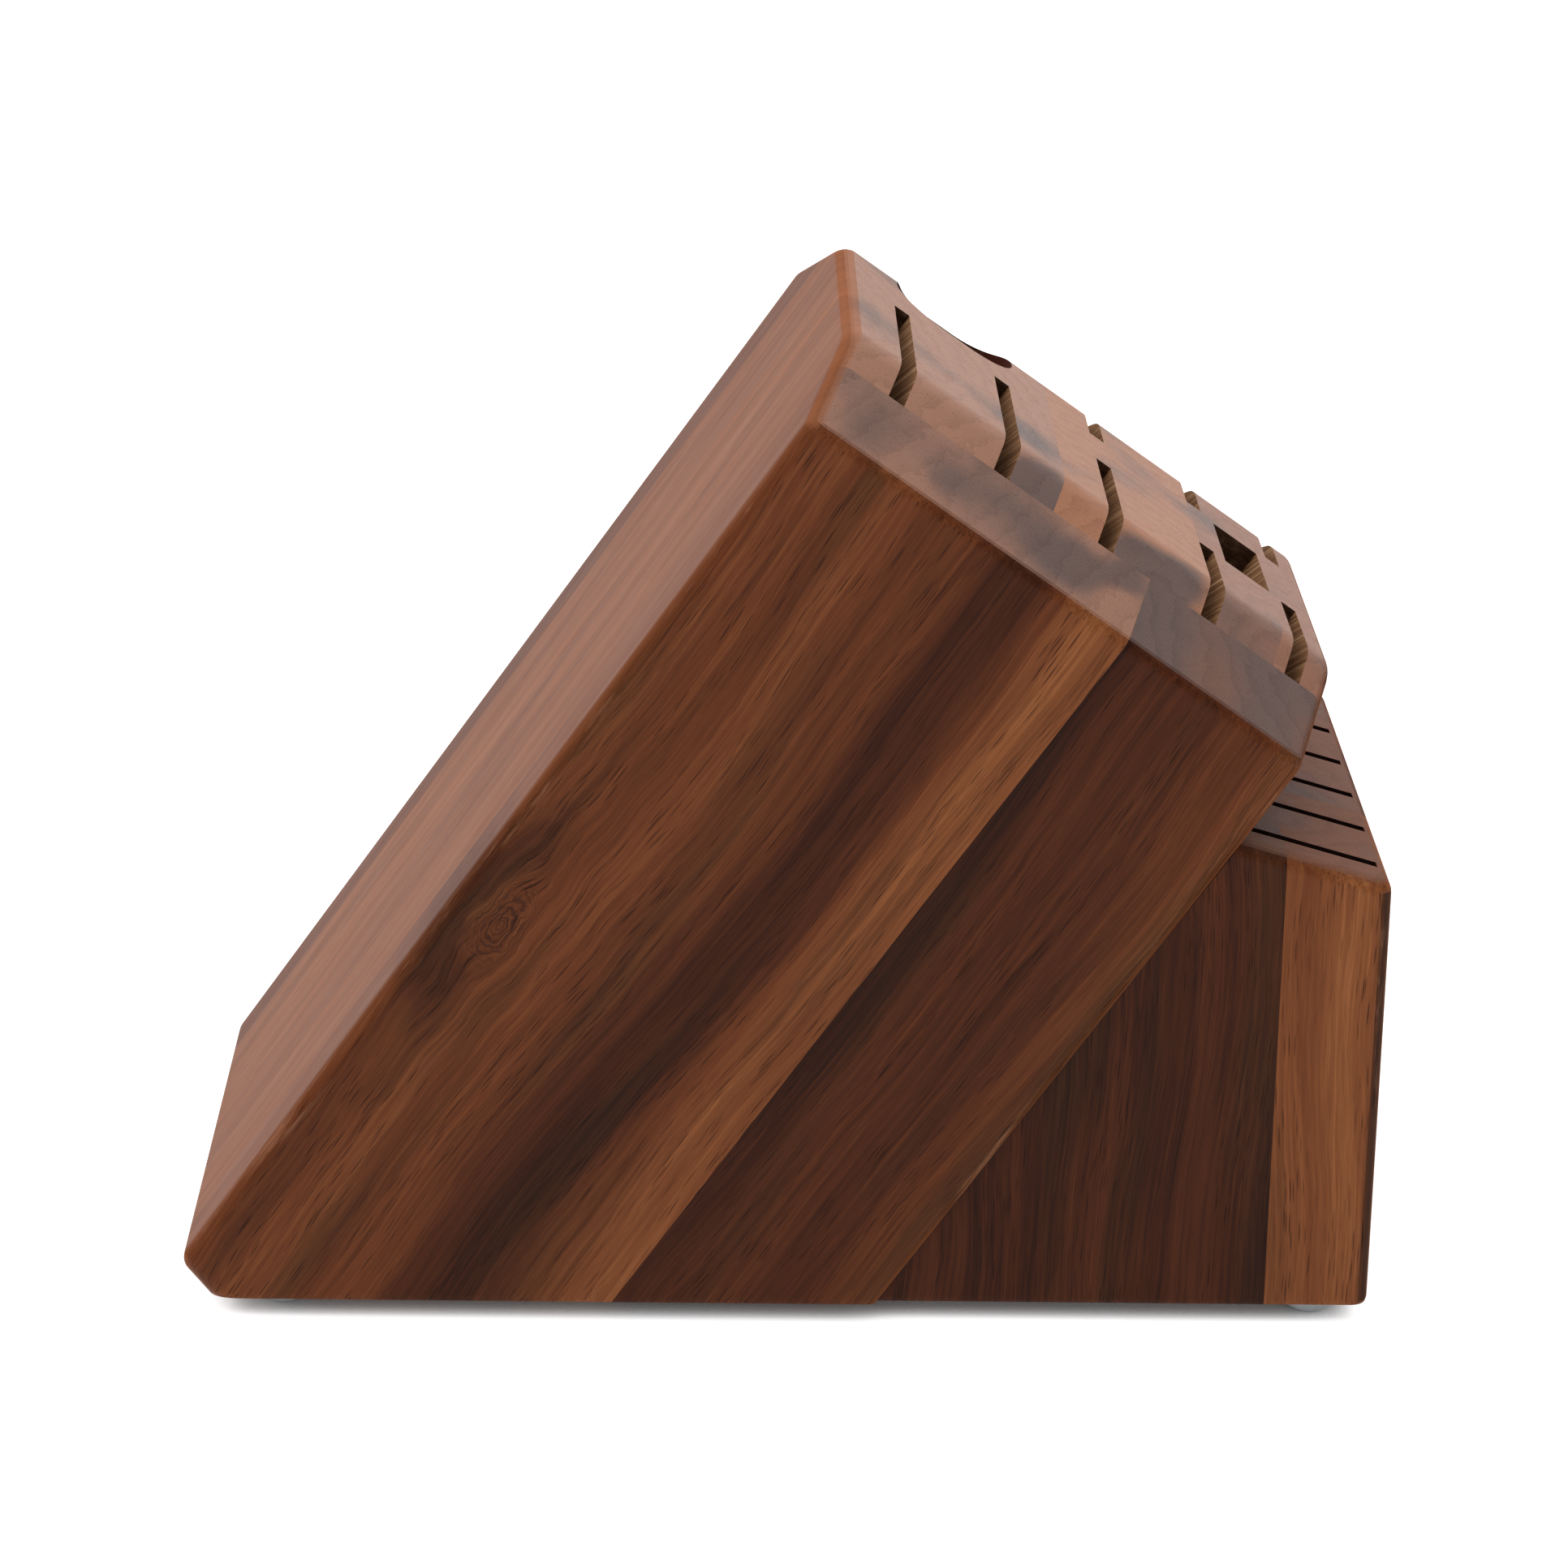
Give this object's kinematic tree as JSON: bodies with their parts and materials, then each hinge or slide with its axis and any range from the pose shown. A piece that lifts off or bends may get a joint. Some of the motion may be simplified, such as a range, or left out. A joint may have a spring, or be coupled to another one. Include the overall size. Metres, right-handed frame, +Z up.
{
  "type": "slanted wooden knife block",
  "caption": "Leaning laminated wooden knife block with sawn knife slots, a shears well and an oval steel well, and a low front block of thin steak-knife slots, on domed rubber feet.",
  "frame": {"origin": "bottom centre of the whole block's bounding box, on the surface that the feet stand on", "axes": "+X to the front, where the knives are drawn; +Z up; -Y is the left side for a person in front of it"},
  "size_m": [0.2704, 0.14, 0.225],
  "materials": {
    "side_stave_mixed": "satin oiled walnut-toned acacia",
    "side_stave_dark": "satin oiled walnut-toned acacia",
    "core_light": "satin end grain",
    "core_mixed": "satin end grain",
    "front_stave_light": "satin oiled walnut-toned acacia",
    "front_stave_dark": "satin oiled walnut-toned acacia",
    "dowel_beech": "raw",
    "foot_rubber": "translucent grey, smooth"
  },
  "bodies": {
    "root": {"left_side_rear_stave": "side_stave_mixed", "left_side_front_stave": "side_stave_dark", "right_side_rear_stave": "side_stave_dark", "right_side_front_stave": "side_stave_mixed", "rear_core_board": "core_light", "middle_core_board": "core_mixed", "front_core_board": "core_light", "nose_core_board": "core_mixed", "front_left_stave": "front_stave_light", "front_middle_stave": "front_stave_dark", "front_right_stave": "front_stave_light", "steak_divider_1": "front_stave_dark", "steak_divider_2": "front_stave_dark", "steak_divider_3": "front_stave_dark", "steak_divider_4": "front_stave_dark", "steak_divider_5": "front_stave_dark", "steak_divider_6": "front_stave_dark", "steak_divider_7": "front_stave_dark", "locating_dowels": "dowel_beech", "rear_left_foot": "foot_rubber", "rear_right_foot": "foot_rubber", "front_left_foot": "foot_rubber", "front_right_foot": "foot_rubber"}
  },
  "joints": []
}
